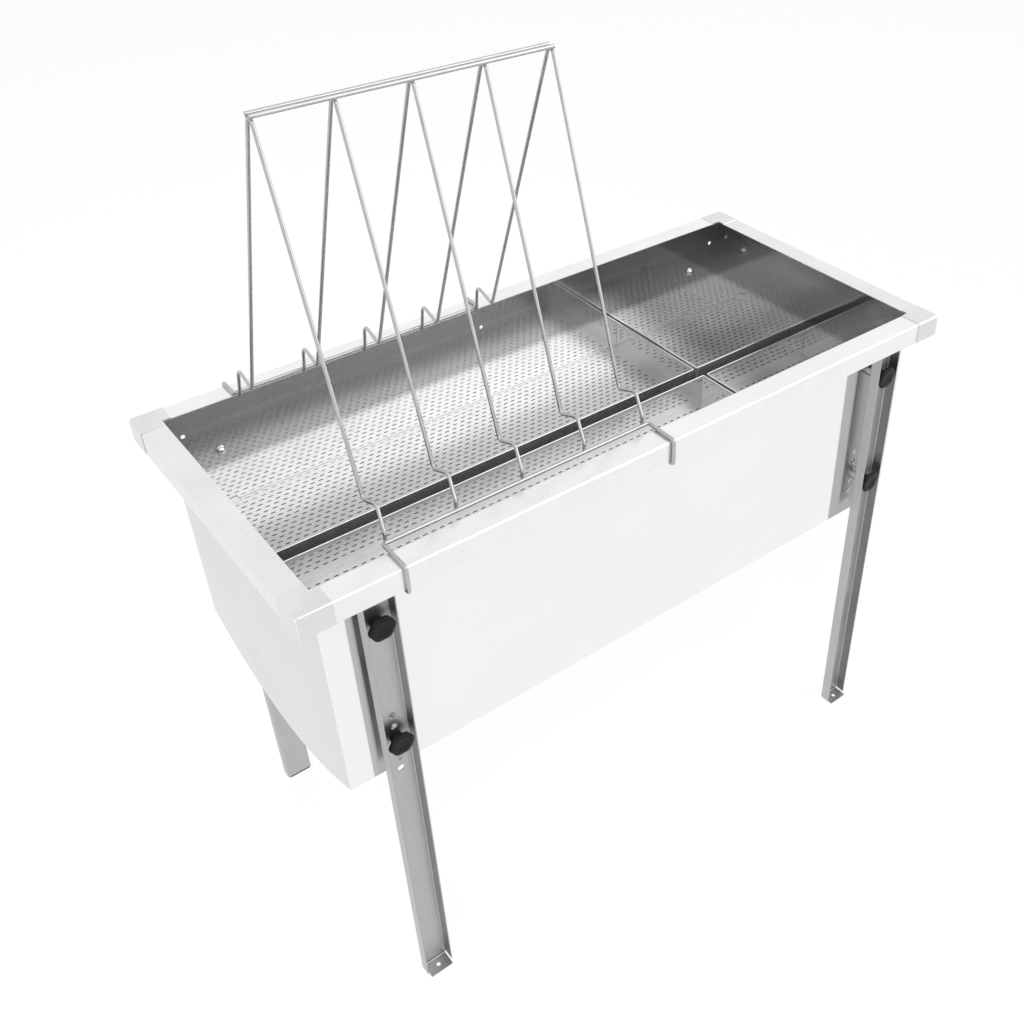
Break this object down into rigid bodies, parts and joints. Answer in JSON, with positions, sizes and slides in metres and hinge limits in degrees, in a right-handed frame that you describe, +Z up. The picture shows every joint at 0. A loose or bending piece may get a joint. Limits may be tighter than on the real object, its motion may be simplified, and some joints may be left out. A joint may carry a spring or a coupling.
{
  "type": "uncapping tank",
  "caption": "Rectangular steel uncapping tank on channel legs, with lift-out sieve baskets, a hooked wire frame rack and a honey gate.",
  "frame": {"origin": "centre of the four foot holes, on the floor", "axes": "+Z up, +X along the tank towards the honey gate, +Y from the front to the back"},
  "size_m": [1.0277, 0.471, 1.1534],
  "materials": {
    "tank_steel": "satin",
    "sieve_steel": "polished",
    "leg_steel": "satin",
    "wire_steel": "polished",
    "knob_black": "satin",
    "seal_rubber": "matte"
  },
  "bodies": {
    "tank": {"front_wall": "tank_steel", "back_wall": "tank_steel", "left_end": "tank_steel", "right_end": "tank_steel", "rolled_bottom": "tank_steel", "front_rim": "tank_steel", "back_rim": "tank_steel", "left_rim": "tank_steel", "right_rim": "tank_steel", "corner_cap_front_left": "tank_steel", "corner_cap_front_right": "tank_steel", "corner_cap_back_left": "tank_steel", "corner_cap_back_right": "tank_steel", "front_ledge": "sieve_steel", "back_ledge": "sieve_steel", "centre_beam": "sieve_steel", "leg_front_left": "leg_steel", "leg_front_right": "leg_steel", "leg_back_left": "leg_steel", "leg_back_right": "leg_steel", "dome_inserts": "wire_steel", "leg_spacers": "wire_steel", "outlet_spigot": "sieve_steel", "gate_seal": "seal_rubber", "gate_pivot_bolt": "wire_steel"},
    "knob_fl_upper": {"knob_fl_upper": "knob_black", "stud_fl_upper": "wire_steel"},
    "knob_fl_lower": {"knob_fl_lower": "knob_black", "stud_fl_lower": "wire_steel"},
    "knob_fr_upper": {"knob_fr_upper": "knob_black", "stud_fr_upper": "wire_steel"},
    "knob_fr_lower": {"knob_fr_lower": "knob_black", "stud_fr_lower": "wire_steel"},
    "knob_bl_upper": {"knob_bl_upper": "knob_black", "stud_bl_upper": "wire_steel"},
    "knob_bl_lower": {"knob_bl_lower": "knob_black", "stud_bl_lower": "wire_steel"},
    "knob_br_upper": {"knob_br_upper": "knob_black", "stud_br_upper": "wire_steel"},
    "knob_br_lower": {"knob_br_lower": "knob_black", "stud_br_lower": "wire_steel"},
    "basket_front_left": {"basket_front_left": "sieve_steel"},
    "basket_front_right": {"basket_front_right": "sieve_steel"},
    "basket_back_left": {"basket_back_left": "sieve_steel"},
    "basket_back_right": {"basket_back_right": "sieve_steel"},
    "rack": {"rack_front_rod": "wire_steel", "rack_back_rod": "wire_steel", "rack_ribs": "wire_steel", "rack_front_rail": "wire_steel", "rack_back_rail": "wire_steel"},
    "gate_blade": {"gate_blade": "leg_steel"},
    "gate_wing_nut": {"gate_wing_nut": "wire_steel"}
  },
  "joints": [
    {"name": "turn_knob_fl_upper", "type": "hinge", "parent": "tank", "child": "knob_fl_upper", "pos_m": [-0.408, -0.212, 0.664], "axis": [0, -1, 0], "continuous": true},
    {"name": "turn_knob_fl_lower", "type": "hinge", "parent": "tank", "child": "knob_fl_lower", "pos_m": [-0.408, -0.212, 0.477], "axis": [0, -1, 0], "continuous": true},
    {"name": "turn_knob_fr_upper", "type": "hinge", "parent": "tank", "child": "knob_fr_upper", "pos_m": [0.408, -0.212, 0.664], "axis": [0, -1, 0], "continuous": true},
    {"name": "turn_knob_fr_lower", "type": "hinge", "parent": "tank", "child": "knob_fr_lower", "pos_m": [0.408, -0.212, 0.477], "axis": [0, -1, 0], "continuous": true},
    {"name": "turn_knob_bl_upper", "type": "hinge", "parent": "tank", "child": "knob_bl_upper", "pos_m": [-0.408, 0.212, 0.664], "axis": [0, 1, 0], "continuous": true},
    {"name": "turn_knob_bl_lower", "type": "hinge", "parent": "tank", "child": "knob_bl_lower", "pos_m": [-0.408, 0.212, 0.477], "axis": [0, 1, 0], "continuous": true},
    {"name": "turn_knob_br_upper", "type": "hinge", "parent": "tank", "child": "knob_br_upper", "pos_m": [0.408, 0.212, 0.664], "axis": [0, 1, 0], "continuous": true},
    {"name": "turn_knob_br_lower", "type": "hinge", "parent": "tank", "child": "knob_br_lower", "pos_m": [0.408, 0.212, 0.477], "axis": [0, 1, 0], "continuous": true},
    {"name": "lift_basket_front_left", "type": "slide", "parent": "tank", "child": "basket_front_left", "axis": [0, 0, 1], "range_m": [0, 0.1]},
    {"name": "lift_basket_front_right", "type": "slide", "parent": "tank", "child": "basket_front_right", "axis": [0, 0, 1], "range_m": [0, 0.25]},
    {"name": "lift_basket_back_left", "type": "slide", "parent": "tank", "child": "basket_back_left", "axis": [0, 0, 1], "range_m": [0, 0.1]},
    {"name": "lift_basket_back_right", "type": "slide", "parent": "tank", "child": "basket_back_right", "axis": [0, 0, 1], "range_m": [0, 0.25]},
    {"name": "slide_rack", "type": "slide", "parent": "tank", "child": "rack", "axis": [1, 0, 0], "range_m": [-0.008, 0.24]},
    {"name": "swing_gate_blade", "type": "hinge", "parent": "tank", "child": "gate_blade", "pos_m": [0.508, 0.046, 0.3902], "axis": [-1, 0, 0], "range_deg": [0, 90]},
    {"name": "turn_wing_nut", "type": "hinge", "parent": "tank", "child": "gate_wing_nut", "pos_m": [0.515, 0.046, 0.3902], "axis": [1, 0, 0], "continuous": true}
  ]
}
